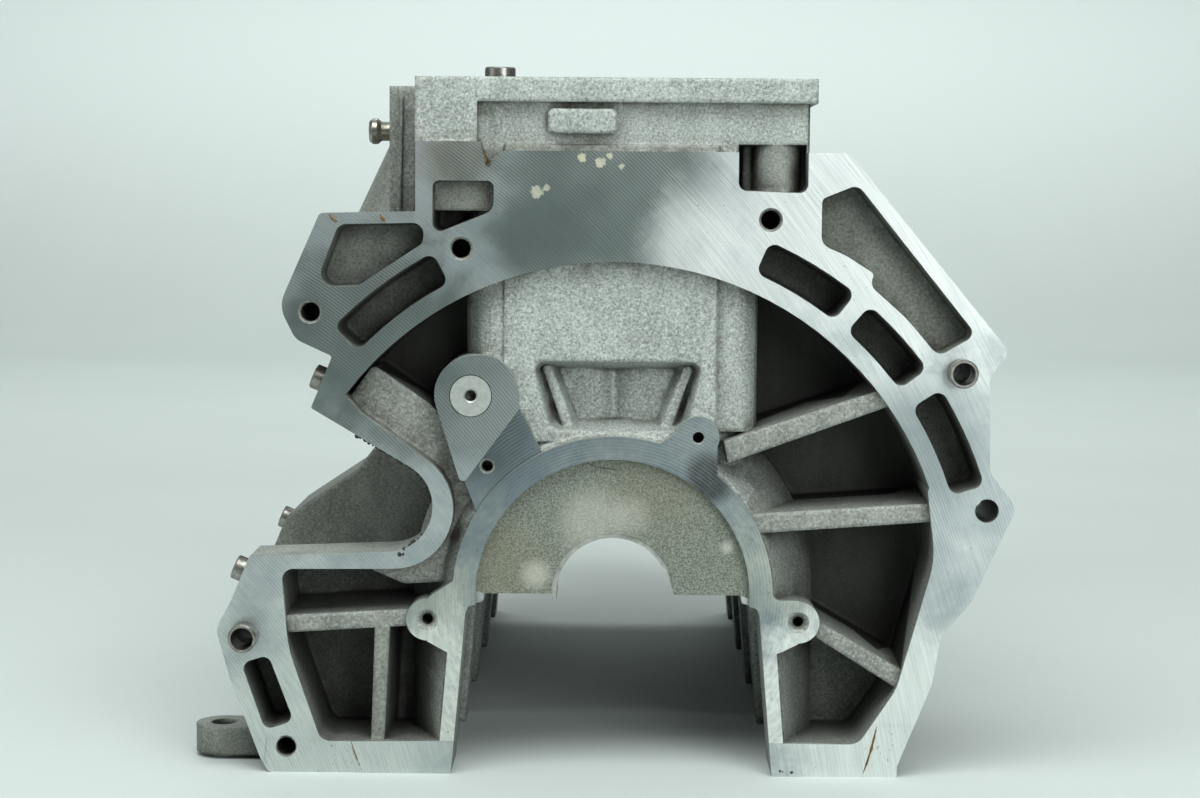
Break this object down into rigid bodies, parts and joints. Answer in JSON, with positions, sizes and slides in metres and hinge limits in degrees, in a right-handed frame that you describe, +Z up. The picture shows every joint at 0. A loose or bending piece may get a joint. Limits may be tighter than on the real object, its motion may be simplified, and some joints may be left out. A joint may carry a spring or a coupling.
{
  "type": "engine block",
  "caption": "Bare aluminium cylinder block of an inline engine on its pan rails, with pressed-in liners, bearing shells, locating sleeves and an open transmission flange",
  "frame": {"origin": "where the crankshaft axis meets the transmission face", "axes": "+X to the right seen from the transmission end, +Y along the crankshaft from the transmission face to the timing end, +Z up along the cylinders"},
  "size_m": [0.3784, 0.4365, 0.3225],
  "materials": {
    "cast_aluminium": "as-cast skin with machined faces",
    "liner_iron": "honed",
    "bearing_steel": "smooth, dull",
    "sleeve_steel": "rolled, dull",
    "stub_steel": "zinc plated, worn",
    "plug_steel": "turned"
  },
  "bodies": {
    "root": {"block_casting": "cast_aluminium", "coolant_hose_stub": "stub_steel", "cylinder_liner_1": "liner_iron", "cylinder_liner_2": "liner_iron", "cylinder_liner_3": "liner_iron", "cylinder_liner_4": "liner_iron", "main_bearing_shell_1": "bearing_steel", "main_bearing_shell_2": "bearing_steel", "main_bearing_shell_3": "bearing_steel", "main_bearing_shell_4": "bearing_steel", "main_bearing_shell_5": "bearing_steel", "deck_sleeve_rear": "sleeve_steel", "deck_sleeve_front": "sleeve_steel", "transmission_sleeve_high": "sleeve_steel", "transmission_sleeve_low": "sleeve_steel", "side_sleeve_high": "sleeve_steel", "side_sleeve_low": "sleeve_steel", "side_sleeve_front": "sleeve_steel", "gallery_plug_rear": "plug_steel", "gallery_plug_front": "plug_steel"}
  },
  "joints": []
}
